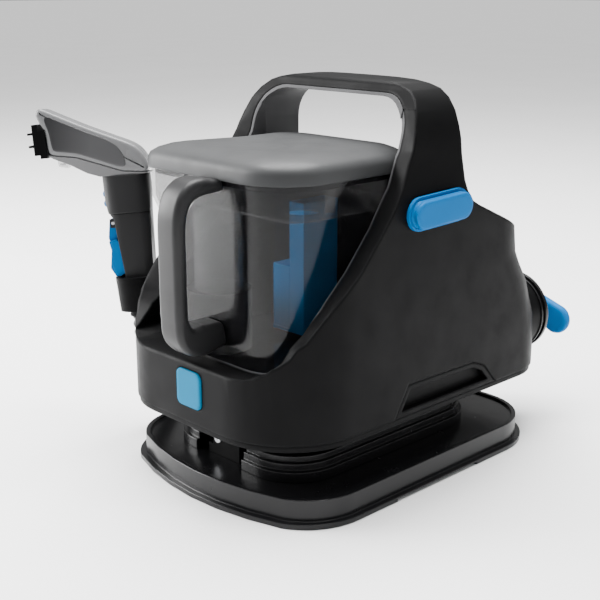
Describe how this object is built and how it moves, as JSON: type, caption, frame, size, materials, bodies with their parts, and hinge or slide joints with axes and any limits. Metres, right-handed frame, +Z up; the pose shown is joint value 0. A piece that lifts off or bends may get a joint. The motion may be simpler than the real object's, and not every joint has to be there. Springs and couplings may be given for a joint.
{
  "type": "spot extractor",
  "caption": "Portable spot extractor: stepped base, housing with an arched carry handle, tip-out clear tank, docked hand tool and ribbed hose.",
  "frame": {"origin": "centre of the base's flat underside", "axes": "+Z up, -Y towards the machine's front, +X towards the machine's right"},
  "size_m": [0.5285, 0.55, 0.331],
  "materials": {
    "charcoal": "fine moulded texture, satin",
    "black": "gloss black",
    "soft_black": "matte black",
    "blue": "semi-gloss blue",
    "grey": "satin mid grey",
    "smoke": "smoked clear plastic",
    "steel": "zinc plated",
    "rubber": "soft black rubber",
    "hose": "ribbed black hose",
    "board": "green circuit board"
  },
  "bodies": {
    "machine": {"base_tray": "black", "base_plate": "soft_black", "base_pads": "rubber", "case_screws": "steel", "waist_collar": "black", "waist_column": "soft_black", "collar_bracket": "soft_black", "belly_pan": "charcoal", "housing_shell": "charcoal", "bay_liner": "charcoal", "side_panel_right": "charcoal", "side_panel_left": "charcoal", "exhaust_grille": "soft_black", "latch_pin": "steel", "power_bezel": "blue", "power_switch": "soft_black", "port_seal": "rubber", "suction_duct": "soft_black", "fan_housing": "soft_black", "motor_can": "steel", "clean_tank": "smoke", "water_pump": "soft_black", "water_tube": "smoke", "recovery_tube": "soft_black", "control_board": "board", "mains_inlet": "rubber", "cord_hub": "black", "tool_holster": "soft_black", "hose_port": "soft_black", "hose_riser": "hose", "hose_loop": "hose", "hose_tail": "hose"},
    "release": {"release_button": "blue", "release_spring": "steel"},
    "latch": {"tank_latch": "soft_black"},
    "power_key": {"power_button": "blue"},
    "tank": {"tank_bowl": "smoke", "tank_handle": "grey", "inlet_filter": "soft_black", "standpipe": "smoke"},
    "lid": {"tank_lid": "grey", "lid_seal": "rubber", "splash_baffle": "smoke", "float_guide": "blue"},
    "float_body": {"float": "blue"},
    "fan": {"fan_impeller": "grey", "motor_shaft": "steel"},
    "hook": {"cord_hook": "blue"},
    "cap": {"filler_cap": "soft_black"},
    "hand_tool": {"nozzle_window": "smoke", "nozzle_body": "grey", "brush_block": "soft_black", "bristles": "soft_black", "spray_tip": "smoke", "grip_neck": "grey", "grip_handle": "grey", "trigger_pin": "steel", "hose_cuff": "rubber"},
    "trigger_body": {"trigger": "blue"},
    "lock": {"lock_button": "blue"}
  },
  "joints": [
    {"name": "tank_tilt", "type": "hinge", "parent": "machine", "child": "tank", "pos_m": [0, -0.161, 0.116], "axis": [1, 0, 0], "range_deg": [0, 30]},
    {"name": "lid_lift", "type": "slide", "parent": "tank", "child": "lid", "axis": [0, 0, 1], "range_m": [0, 0.025]},
    {"name": "float_rise", "type": "slide", "parent": "lid", "child": "float_body", "axis": [0, 0, 1], "range_m": [0, 0.03]},
    {"name": "tank_release", "type": "slide", "parent": "machine", "child": "release", "axis": [0, 1, 0], "range_m": [0, 0.004], "stiffness_N_per_m": 600, "springref_m": -0.002},
    {"name": "latch_turn", "type": "hinge", "parent": "machine", "child": "latch", "pos_m": [0, -0.147, 0.104], "axis": [1, 0, 0], "range_deg": [0, 12.2]},
    {"name": "power_press", "type": "slide", "parent": "machine", "child": "power_key", "axis": [-1, 0, 0], "range_m": [0, 0.004], "stiffness_N_per_m": 600, "springref_m": -0.002},
    {"name": "fan_spin", "type": "hinge", "parent": "machine", "child": "fan", "pos_m": [0, 0.106, 0.095], "axis": [0, 0, 1], "continuous": true},
    {"name": "cord_hook_swivel", "type": "hinge", "parent": "machine", "child": "hook", "pos_m": [0.062, 0.2, 0.102], "axis": [0, 1, 0], "range_deg": [0, 180]},
    {"name": "cap_lift", "type": "slide", "parent": "machine", "child": "cap", "axis": [0, 0.4035, 0.915], "range_m": [0, 0.02]},
    {"name": "tool_lift", "type": "slide", "parent": "machine", "child": "hand_tool", "axis": [-0.1219, 0, 0.9925], "range_m": [0, 0.035], "deforming": ["hose_riser"]},
    {"name": "trigger_squeeze", "type": "hinge", "parent": "hand_tool", "child": "trigger_body", "pos_m": [-0.16682, -0.11263, 0.19709], "axis": [0.7376, -0.6691, 0.0906], "range_deg": [0, 6], "stiffness_Nm_per_rad": 1.5, "springref_deg": -5.73},
    {"name": "lock_press", "type": "slide", "parent": "hand_tool", "child": "lock", "axis": [0.6641, 0.7431, 0.0815], "range_m": [0, 0.0025], "stiffness_N_per_m": 600, "springref_m": -0.002}
  ],
  "couplings": [
    {"joint": "latch_turn", "follows": "tank_release", "rad_per_m": 52.36}
  ]
}
